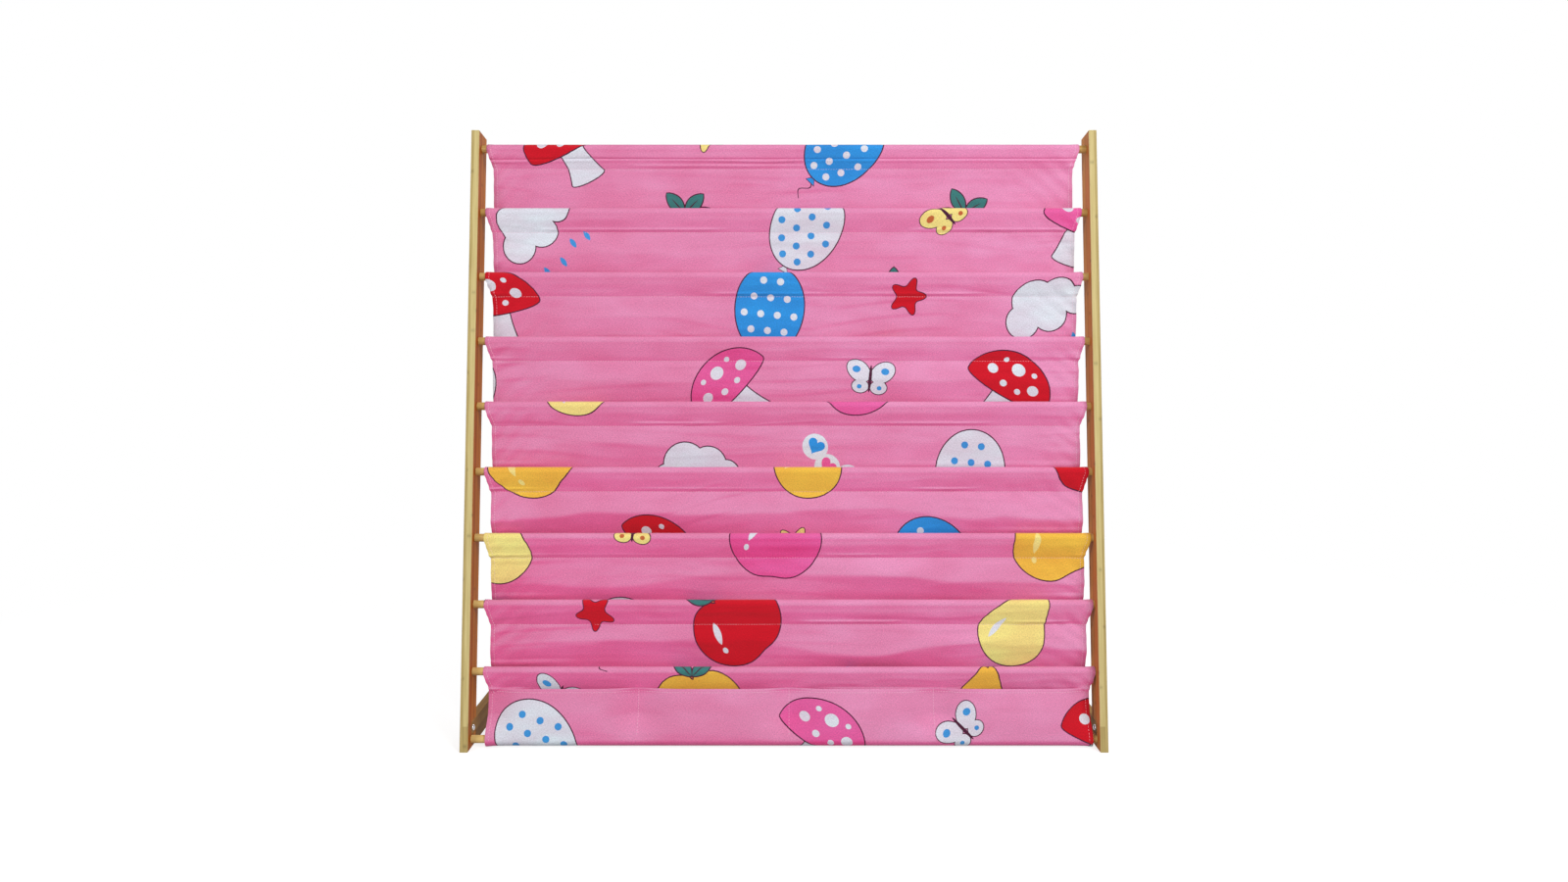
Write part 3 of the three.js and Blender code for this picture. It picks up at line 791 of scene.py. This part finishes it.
def ellipse(radius_u, radius_v, steps, turn=0.0, centre=(0, 0)):
    t = full_turn(steps)
    return turned(loop_of(radius_u * np.cos(t), radius_v * np.sin(t)), turn) + centre


def grown(loop, distance):
    """The loop moved outwards by a distance."""
    following = np.roll(loop, -1, axis=0)
    step = following - np.roll(loop, 1, axis=0)
    normal = loop_of(step[:, 1], -step[:, 0])
    normal /= np.maximum(np.linalg.norm(normal, axis=1, keepdims=True), 1e-9)
    area = np.sum(loop[:, 0] * following[:, 1] - following[:, 0] * loop[:, 1])
    return loop + normal * (distance if area > 0 else -distance)


def motif(loops, colour, marks=(), mark_colour=None, size=MOTIF_RADIUS, line=OUTLINE):
    """Loops with one dark line round them all, and plain marks over them, drawn in shares of the size."""
    loops = [loop * size for loop in loops]
    lines = [(grown(loop, line / 2), "outline") for loop in loops]
    filled = [(grown(loop, -line / 2), colour) for loop in loops]
    return lines + filled + [(mark * size, mark_colour) for mark in marks]


def leaf_loop(base, angle, length, width):
    s = np.linspace(0, 1, 14)
    half = width / 2 * np.sin(pi * s) ** 0.75
    upper, lower = loop_of(s * length, half), loop_of(s[::-1] * length, -half[::-1])
    return turned(np.concatenate([upper, lower[1:-1]]), angle) + base


def leafy_top(base, turns, size):
    """A short stem and its leaves, each with a vein."""
    stem = leaf_loop((0, base + 0.006), -pi / 2 - 0.2, 0.024, 0.0075)
    leaves = [leaf_loop((0, base + 0.001), -pi / 2 + turn, size, size * 0.52) for turn in turns]
    veins = [leaf_loop((0, base + 0.001), -pi / 2 + turn, size * 0.72, 0.0018) for turn in turns]
    return motif([stem], "rust", size=1) + motif(leaves, "green", veins, "outline", size=1)


def apple(colour, shine):
    t = full_turn(60)
    from_top = np.abs(np.where(t > pi, t - 2 * pi, t))
    r = 1 - 0.20 * np.exp(-(from_top / 0.42) ** 2) - 0.09 * np.exp(-((pi - from_top) / 0.3) ** 2)
    body = loop_of(1.07 * r * np.sin(t), -r * np.cos(t))
    shines = [leaf_loop((-0.62, 0.10), -1.15, 0.55, 0.16), ellipse(0.06, 0.08, 12, 0.2, (-0.66, 0.26))]
    return motif([body], colour, shines, shine) + leafy_top(-0.78 * MOTIF_RADIUS, (0.95, -0.6), 0.042)


def pear(colour, shine):
    t = full_turn(60)
    width = 0.66 - 0.30 * np.cos(t) - 0.06 * np.cos(2 * t) + 0.05 * np.cos(3 * t)
    body = loop_of(width * np.sin(t), -1.08 * np.cos(t))
    shines = [leaf_loop((-0.46, 0.62), -1.35, 0.6, 0.14)]
    return motif([body], colour, shines, shine) + leafy_top(-1.06 * MOTIF_RADIUS, (0.8,), 0.044)


def toadstool(cap_colour, spot_colour):
    around, below = np.linspace(pi, 2 * pi, 30), np.linspace(0, pi, 16)[1:-1]
    dome = loop_of(1.08 * np.cos(around), 0.88 * np.sin(around))
    brim = loop_of(1.08 * np.cos(below), 0.20 * np.sin(below))
    s, foot = np.linspace(0, 1, 10), np.linspace(0, pi, 10)[1:-1]
    side = 0.30 + 0.14 * s * s
    left, right = loop_of(-side, 0.9 * s)[::-1], loop_of(side, 0.9 * s)
    stem = np.concatenate([left, right, loop_of(0.44 * np.cos(foot), 0.9 + 0.10 * np.sin(foot))])
    places = ((0.02, -0.52, 0.17), (-0.55, -0.27, 0.13), (0.56, -0.25, 0.14), (-0.16, -0.08, 0.09),
              (0.24, -0.06, 0.08), (-0.36, -0.60, 0.07), (0.42, -0.58, 0.07))
    spots = [ellipse(size, size * 0.85, 20, 0, (u, v)) for u, v, size in places]
    cap = np.concatenate([dome, brim])
    return motif([stem], "white") + motif([cap], cap_colour, spots, spot_colour)


def balloon(colour, dot_colour):
    t = full_turn(60)
    r = 0.94 + 0.06 * np.cos(2 * t)
    body = loop_of(0.95 * r * np.sin(t), r * np.cos(t) * np.where(np.cos(t) > 0, 1.12, 1.0))
    knot = np.array([(0, 1.06), (0.13, 1.24), (-0.13, 1.24)])
    s = np.linspace(0, 1, 16)
    path = loop_of(0.09 * np.sin(2.2 * pi * s), 1.2 + 0.5 * s) * MOTIF_RADIUS
    string = np.concatenate([path + (OUTLINE / 2, 0), path[::-1] - (OUTLINE / 2, 0)])
    rows = ((-0.62, 2), (-0.22, 3), (0.18, 4), (0.56, 3), (0.88, 2))
    dots = [ellipse(0.085, 0.085, 14, 0, ((i - (count - 1) / 2) * 0.40, v)) for v, count in rows
            for i in range(count)]
    return [(string, "outline")] + motif([knot], colour) + motif([body], colour, dots, dot_colour)


def cloud(colour, drop_colour):
    puffs = ((-0.62, 0.10, 0.40), (-0.18, -0.22, 0.52), (0.36, -0.12, 0.44), (0.74, 0.16, 0.34),
             (0.05, 0.20, 0.42))
    loops = [ellipse(r, r, 30, 0, (u, v)) for u, v, r in puffs]
    places = ((-0.55, 0.86), (-0.10, 0.98), (0.38, 0.84), (0.74, 0.96))
    return motif(loops, colour, [leaf_loop(place, 1.75, 0.27, 0.12) for place in places], drop_colour)


def star(colour):
    """A five-pointed star with its points rounded."""
    t = full_turn(70)
    r = 0.74 + 0.22 * np.cos(5 * t) + 0.04 * np.cos(10 * t)
    return motif([loop_of(r * np.sin(t), -r * np.cos(t))], colour, size=STAR_RADIUS, line=THIN_OUTLINE)


def butterfly(colour, spot_colour):
    wings = [ellipse(0.62, 0.44, 26, -0.6 * side, (0.55 * side, -0.32)) for side in (-1, 1)]
    wings += [ellipse(0.40, 0.32, 22, 0, (0.42 * side, 0.36)) for side in (-1, 1)]
    spots = []
    for side in (-1, 1):
        spots.append(ellipse(0.19, 0.15, 14, 0, (0.66 * side, -0.38)))
        spots.append(ellipse(0.11, 0.10, 12, 0, (0.46 * side, 0.38)))
    shapes = motif(wings, colour, spots, spot_colour, BUTTERFLY_SIZE, THIN_OUTLINE)
    return shapes + [(ellipse(0.075, 0.62, 18) * BUTTERFLY_SIZE, "outline")]


def hearts():
    """A row of hearts on white discs."""
    t = full_turn(36)
    v = -(13 * np.cos(t) - 5 * np.cos(2 * t) - 2 * np.cos(3 * t) - np.cos(4 * t))
    heart = loop_of(16 * np.sin(t) ** 3, v) * HEART_SIZE / 32
    loops = [(turned(heart, 0.25 * i) + (i * HEART_STEP, 0 if i else 0.010), colour)
             for i, colour in enumerate(("blue", "magenta", "red"), -1)]
    discs = [(ellipse(0.0205, 0.0195, 30, 0, loop.mean(axis=0) + (0, 0.0015)), "white") for loop, _ in loops]
    return discs + loops


def inside(points, loop):
    """Which points lie inside the loop."""
    following = np.roll(loop, -1, axis=0)
    result = np.zeros(len(points), dtype=bool)
    for (u0, v0), (u1, v1) in zip(loop, following):
        crosses = (v0 > points[:, 1]) != (v1 > points[:, 1])
        if v0 != v1:
            result ^= crosses & (points[:, 0] < (u1 - u0) * (points[:, 1] - v0) / (v1 - v0) + u0)
    return result


BIG_MOTIFS = [
    toadstool("red", "white"), pear("yellow", "white"), balloon("blue", "white"), apple("magenta", "white"),
    cloud("white", "sky"), apple("amber", "yellow"), balloon("white", "sky"), pear("amber", "yellow"),
    toadstool("magenta", "white"), apple("red", "white"),
]
SMALL_MOTIFS = [
    star("yellow"), hearts(), butterfly("white", "sky"), star("red"), butterfly("yellow", "rust"),
]
MOTIF_TURNS = (-0.45, 0.3, 0.75, -0.15, -0.8, 0.1, 0.5)


def print_shapes(start_v, length):
    """The print on a length of cloth: large motifs on a slanting grid, a small one between each two."""
    shapes = []

    def place_motif(motifs, number, centre):
        turn = MOTIF_TURNS[number % len(MOTIF_TURNS)]
        shapes.extend((turned(loop, turn) + centre, colour) for loop, colour in motifs[number % len(motifs)])

    for row in range(int(start_v / PRINT_ROW) - 1, int((start_v + length) / PRINT_ROW) + 2):
        slant = (row * PRINT_SLANT) % PRINT_COLUMN
        v = PRINT_START_V + row * PRINT_ROW - start_v
        for column in range(-1, int(CLOTH_WIDTH / PRINT_COLUMN) + 2):
            u = PRINT_START_U + column * PRINT_COLUMN + slant
            place_motif(BIG_MOTIFS, row * 3 + column * 2, (u, v))
            if (row + column) % 2 == 0:
                place_motif(SMALL_MOTIFS, row * 2 + column * 3, (u + PRINT_COLUMN / 2, v + PRINT_SMALL_DROP))
    far_corner = np.array([CLOTH_WIDTH, length]) - PRINT_MARGIN
    return [(loop, colour) for loop, colour in shapes
            if (loop.max(axis=0) > PRINT_MARGIN).all() and (loop.min(axis=0) < far_corner).all()]


def divided(loop):
    """The loop with its longer edges split, so that it can follow the cloth's folds."""
    following = np.roll(loop, -1, axis=0)
    counts = np.ceil(np.hypot(*(following - loop).T) / PRINT_EDGE).astype(int)
    return np.concatenate([start + (end - start) * (np.arange(count) / count)[:, None]
                           for start, end, count in zip(loop, following, counts) if count])


def printed_mesh(cloth, start_v):
    """Triangles over the flat cloth that follow the print's outlines, and each one's colour."""
    shapes = print_shapes(start_v, cloth.length)
    grid_u, grid_v = np.meshgrid(cloth.u, cloth.v)
    places = [loop_of(grid_u.ravel(), grid_v.ravel())]
    edges, start = [], len(places[0])
    for loop, _ in shapes:
        cut = divided(np.clip(loop, 0, (CLOTH_WIDTH, cloth.length)))
        places.append(cut)
        count = len(cut)
        edges += [(start + i, start + (i + 1) % count) for i in range(count)]
        start += count
    flat = np.concatenate(places)
    found = delaunay_2d_cdt([Vector(place) for place in flat], edges, [], 0, CUT_MERGE)
    flat, faces = np.array(found[0]), np.array(found[2])
    centres = flat[faces].mean(axis=1)
    colours = np.zeros(len(faces), dtype=int)
    for loop, colour in shapes:
        low, high = loop.min(axis=0), loop.max(axis=0)
        near = np.nonzero(((centres > low) & (centres < high)).all(axis=1))[0]
        colours[near[inside(centres[near], loop)]] = list(PRINT_COLOURS).index(colour)
    a, b, c = (flat[faces[:, i]] for i in range(3))
    area = (b[:, 0] - a[:, 0]) * (c[:, 1] - a[:, 1]) - (b[:, 1] - a[:, 1]) * (c[:, 0] - a[:, 0])
    keep = np.abs(area) > SLIVER_AREA
    faces, colours, area = faces[keep], colours[keep], area[keep]
    faces[area > 0] = faces[area > 0][:, ::-1]
    return flat, faces, colours


def cloth_piece(name, path, start_v):
    """A printed cloth with its thickness: the print in front and the paler reverse behind."""
    cloth = Cloth(path)
    flat, faces, colours = printed_mesh(cloth, start_v)
    points, _ = cloth.locate(flat)
    piece = add_mesh(name, points, faces, CLOTH_MATERIALS)
    mesh = piece.data
    mesh.polygons.foreach_set("material_index", colours)
    corners = np.zeros(len(mesh.loops), dtype=int)
    mesh.loops.foreach_get("vertex_index", corners)
    mesh.uv_layers.new(name="flat").data.foreach_set("uv", (flat[corners] + (0, start_v)).ravel())
    add_modifier(piece, "thickness", "SOLIDIFY", thickness=CLOTH_THICKNESS, offset=0,
                 material_offset=len(PRINT_COLOURS))
    add_modifier(piece, "shading", "WEIGHTED_NORMAL")
    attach(piece, "root")
    return cloth, piece


# Stitches: short threads that stand on the cloth's front
def thread_piece(name, cloth, lines):
    """One mesh of every stitch along the lines, each from one flat place (u, v) to another."""
    vertices, faces = [], []
    for start, end in lines:
        start, way = np.array(start), np.array(end) - start
        length = hypot(*way)
        count = int(length / STITCH_PITCH)
        shares = (np.arange(count) + 0.5) / count
        half = STITCH_LENGTH / 2 / length
        rings = []
        for offset in (-half, -half * 0.6, half * 0.6, half):
            point, normal = cloth.locate(start + way * (shares + offset)[:, None])
            rings.append(point + normal * (CLOTH_THICKNESS / 2))
        out = cloth.locate(start + way * shares[:, None])[1]
        run = rings[3] - rings[0]
        run /= np.linalg.norm(run, axis=1, keepdims=True)
        across = np.cross(run, out)
        for i in range(count):
            base = len(vertices)
            vertices.append(rings[0][i] - out[i] * THREAD_RADIUS)
            for ring in (1, 2):
                for a, b in THREAD_SECTION:
                    vertices.append(rings[ring][i] + (out[i] * a + across[i] * b) * THREAD_RADIUS)
            vertices.append(rings[3][i] - out[i] * THREAD_RADIUS)
            for k in range(4):
                here, there = base + 1 + k, base + 1 + (k + 1) % 4
                faces += [(base, there, here), (here, there, there + 4, here + 4)]
                faces.append((base + 9, here + 4, there + 4))
    piece = add_mesh(name, vertices, faces, [THREAD_MATERIAL])
    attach(piece, "root")
    return piece


# Turned metal and wood
def rod_profile(length, bored):
    end = [(ROD_RADIUS - ROD_CHAMFER, 0), (ROD_RADIUS, ROD_CHAMFER)]
    bore = [(0, SCREW_HOLE_DEPTH), (SCREW_HOLE_RADIUS, SCREW_HOLE_DEPTH), (SCREW_HOLE_RADIUS, 0)]
    near = (bore if bored else [(0, 0)]) + end
    return near + [(radius, length - along) for radius, along in near[::-1]]


def dome(radius, height, base, steps=8):
    """The profile of a domed head, from its rim to its top."""
    return [(radius * cos(t), base + height * sin(t)) for t in np.linspace(0, pi / 2, steps)]


def fastener(node, name, profile, side, slot, material, **extras):
    """A turned piece in its node's place, its profile measured from the node's inner end."""
    low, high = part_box(node)
    centre = (low[0] if side > 0 else high[0], (low[1] + high[1]) / 2, (low[2] + high[2]) / 2)
    piece = turned_piece(name, profile, centre, side, material, **extras)
    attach(piece, "root")
    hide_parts(node)


def cross_recess(radius, angle):
    """How deep a screw's cross recess is at a place on its head."""
    near, far = sorted((abs(radius * cos(angle)), abs(radius * sin(angle))))
    if near > RECESS_HALF_WIDTH or far > RECESS_REACH:
        return 0
    return RECESS_DEPTH * (1 - 0.5 * far / RECESS_REACH)


# Materials
# The pink and magenta cloths get the painted shade and light
CLOTH_MATERIALS = [cloth_material(f"cloth_{name}", colour, painted_shade=name in ("pink", "magenta"))
                   for name, colour in PRINT_COLOURS.items()]
CLOTH_MATERIALS += [cloth_material(f"reverse_{name}", paler(colour))
                    for name, colour in PRINT_COLOURS.items()]
THREAD_MATERIAL = cloth_material("thread", "f5d9e6")
# The two boards are one bamboo in two copies: the left one's darker colours are a painted shade, and the
# right one's paler, redder ones a painted light with the cloth's pink bounce
LEFT_BOARD_PAINTED_SHADE = bamboo_material("bamboo_left_board", "954a0c", "c5741c", board=True)
RIGHT_BOARD_PAINTED_LIGHT = bamboo_material("bamboo_right_board", "b4682c", "e0964e", board=True)
# The rails' bamboo is darker than the boards' outer ply, partly as a painted shade where the shelf shades
# them
RAIL_MATERIAL_PAINTED_SHADE = bamboo_material("bamboo_rail", "7c5420", "aa7c38", along="Y")
STRETCHER_MATERIAL = bamboo_material("bamboo_stretcher", "9c7434", "cda765", along="X")
ROD_MATERIAL = bamboo_material("bamboo_rod", "cda558", "ebcc84", strip=(0.03, 0.03), along="X")
CHROME_MATERIAL = metal_material("chrome", "d3d5d9", 0.16)
SCREW_MATERIAL = metal_material("zinc_screw", "b4b6b8", 0.34)

# Cloth
main_path = Path()
for number in range(1, ROD_COUNT):
    add_sleeve(main_path, number)
    if number < ROD_COUNT - 1:
        add_sling(main_path, number)
add_lower_panel(main_path)
main_cloth, main_piece = cloth_piece("printed_cloth", main_path, 0.0)
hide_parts(*[f"sling_{number}" for number in range(1, ROD_COUNT - 1)], "lower_panel")

pocket_path = Path()
add_pocket(pocket_path)
pocket_cloth, pocket_piece = cloth_piece("pocket_cloth", pocket_path, main_cloth.length + POCKET_PRINT_SHIFT)
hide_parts("bottom_pocket")

seam_vs = [main_cloth.marks[f"seam_{number}"] - SEAM_STITCH_RISE for number in range(1, ROD_COUNT)]
seams = [((0, v), (CLOTH_WIDTH, v)) for v in seam_vs]
pocket_seams = [((0, HEM_STITCH), (CLOTH_WIDTH, HEM_STITCH))]
pocket_foot = pocket_cloth.marks["foot"]
for share in STITCH_LINE_SHARES[1:-1]:
    u = (share + 1) / 2 * CLOTH_WIDTH
    pocket_seams.append(((u, POCKET_STITCH_MARGIN), (u, pocket_foot - COMPARTMENT_STITCH_END)))
for u in (SIDE_STITCH, CLOTH_WIDTH - SIDE_STITCH):
    seams.append(((u, SIDE_STITCH_MARGIN), (u, main_cloth.length - SIDE_STITCH_MARGIN)))
    pocket_seams.append(((u, POCKET_STITCH_MARGIN), (u, pocket_foot)))
main_threads = thread_piece("cloth_stitching", main_cloth, seams)
pocket_threads = thread_piece("pocket_stitching", pocket_cloth, pocket_seams)

# Rods
for number in range(1, ROD_COUNT + 1):
    low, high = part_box(f"rod_{number}")
    profile = rod_profile(high[0] - low[0], number in SCREWED_RODS)
    fastener(f"rod_{number}", f"bamboo_rod_{number}", profile, 1, "bamboo_rod", ROD_MATERIAL)

# Fasteners
SCREW_PROFILE = [(0, 0), (SCREW_RADIUS, SCREW_POINT), (SCREW_RADIUS, SCREW_LENGTH - SCREW_HEAD_HEIGHT)]
SCREW_PROFILE += [(radius, SCREW_LENGTH) for radius in np.linspace(SCREW_HEAD_RADIUS, 0, 12)]
BOLT_PROFILE = [(0, 0), (BOLT_RADIUS, 0), (BOLT_RADIUS, BOLT_REACH)]
BOLT_PROFILE += dome(BOLT_HEAD_RADIUS, BOLT_HEAD_HEIGHT, BOLT_REACH)
NUT_PROFILE = [(0, NUT_BORE_DEPTH), (NUT_BORE_RADIUS, NUT_BORE_DEPTH), (NUT_BORE_RADIUS, 0)]
NUT_PROFILE += [(NUT_RADIUS * 0.97, 0), (NUT_RADIUS, NUT_CHAMFER), (NUT_RADIUS, NUT_HEX_HEIGHT)]
NUT_PROFILE += dome(NUT_RADIUS * 0.8, (NUT_HEIGHT - NUT_HEX_HEIGHT) * 0.95, NUT_HEX_HEIGHT + 0.0001)

for label, side in (("left", -1), ("right", 1)):
    for kind, numbers in (("rod", SCREWED_RODS), ("stretcher", (1, 2))):
        for number in numbers:
            node = f"{label}_{kind}_screw_{number}"
            fastener(node, f"{node}_turned", SCREW_PROFILE, side, "screw", SCREW_MATERIAL,
                     recess=cross_recess)
    fastener(f"{label}_foot_bolt", f"{label}_bolt", BOLT_PROFILE, -side, "chrome", CHROME_MATERIAL)
    fastener(f"{label}_foot_nut", f"{label}_cap_nut", NUT_PROFILE, side, "chrome", CHROME_MATERIAL,
             hexagonal=NUT_HEX_HEIGHT)

# Boards keep the model's meshes, with their edges eased
BOARDS = dict(left_upright=LEFT_BOARD_PAINTED_SHADE, right_upright=RIGHT_BOARD_PAINTED_LIGHT, left_foot_rail=RAIL_MATERIAL_PAINTED_SHADE,
              right_foot_rail=RAIL_MATERIAL_PAINTED_SHADE, rear_stretcher=STRETCHER_MATERIAL)
for node, material in BOARDS.items():
    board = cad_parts[node]
    board.data.materials.clear()
    board.data.materials.append(material)
    add_modifier(board, "joined", "WELD", merge_threshold=BOARD_MERGE)
    add_modifier(board, "plain", "DECIMATE", decimate_type="DISSOLVE", angle_limit=FLAT_ANGLE)
    add_modifier(board, "eased", "BEVEL", width=EDGE_EASE, segments=2, limit_method="ANGLE",
                 angle_limit=EDGE_ANGLE, use_clamp_overlap=False, harden_normals=True)


def white_floor():
    """Matt white that keeps the shadow near the shelf and fades to the white backdrop further out."""
    n = Nodes(bpy.data.materials.new("floor"))
    n.feed(n.shader, Base_Color=grey(FLOOR_GREY), Roughness=0.9)
    seen = n.seen_rays()
    distance = n.add("VectorMath", n.add("TexCoord").outputs["Object"])
    distance.operation = "LENGTH"
    far = n.ramp(n.math("DIVIDE", distance.outputs["Value"], FADE_REACH), (0.25, 0), (0.6, 1))
    lift = n.add("Emission", Color=grey(1), Strength=n.math("MULTIPLY", seen, FLOOR_LIFT))
    white = n.add("Emission", Color=grey(1), Strength=1.0)
    near = n.add("AddShader", n.shader.outputs[0], lift.outputs[0])
    both = n.add("MixShader", n.math("MULTIPLY", seen, far), near.outputs[0], white.outputs[0])
    n.feed(n.tree.nodes["Material Output"], Surface=both.outputs[0])
    return n.owner


# Floor, backdrop and light
floor_corners = [(FLOOR_HALF * x, FLOOR_HALF * y, 0) for x, y in ((-1, -1), (1, -1), (1, 1), (-1, 1))]
floor = add_mesh("floor", floor_corners, [(0, 1, 2, 3)], [white_floor()])

world = bpy.data.worlds.new("studio")
scene.world = world
backdrop = Nodes(world, "Background")
strength = backdrop.span(backdrop.seen_rays(), 0.0, 1.0, AMBIENT)
backdrop.feed(backdrop.shader, Color=grey(1), Strength=strength)

for name, (place, size, power) in LAMPS.items():
    light = bpy.data.lights.new(name, "AREA")
    light.shape = "RECTANGLE"
    light.size, light.size_y = size
    light.energy = power
    lamp = bpy.data.objects.new(name, light)
    lamp.location = place
    lamp.rotation_euler = (Vector(LAMP_TARGET) - Vector(place)).to_track_quat("-Z", "Y").to_euler()
    scene.collection.objects.link(lamp)

# Camera
camera_data = bpy.data.cameras.new("camera")
camera_data.sensor_width = SENSOR_WIDTH
camera_data.lens = FOCAL_PIXELS * SENSOR_WIDTH / PHOTO_WIDTH
camera = bpy.data.objects.new("camera", camera_data)
camera.location = (0, FRONT_EDGE_Y - CAMERA_FRONT, CAMERA_HEIGHT)
camera.rotation_euler = (pi / 2 - CAMERA_TILT, 0, 0)
scene.collection.objects.link(camera)
scene.camera = camera

scene.view_settings.view_transform = "Standard"
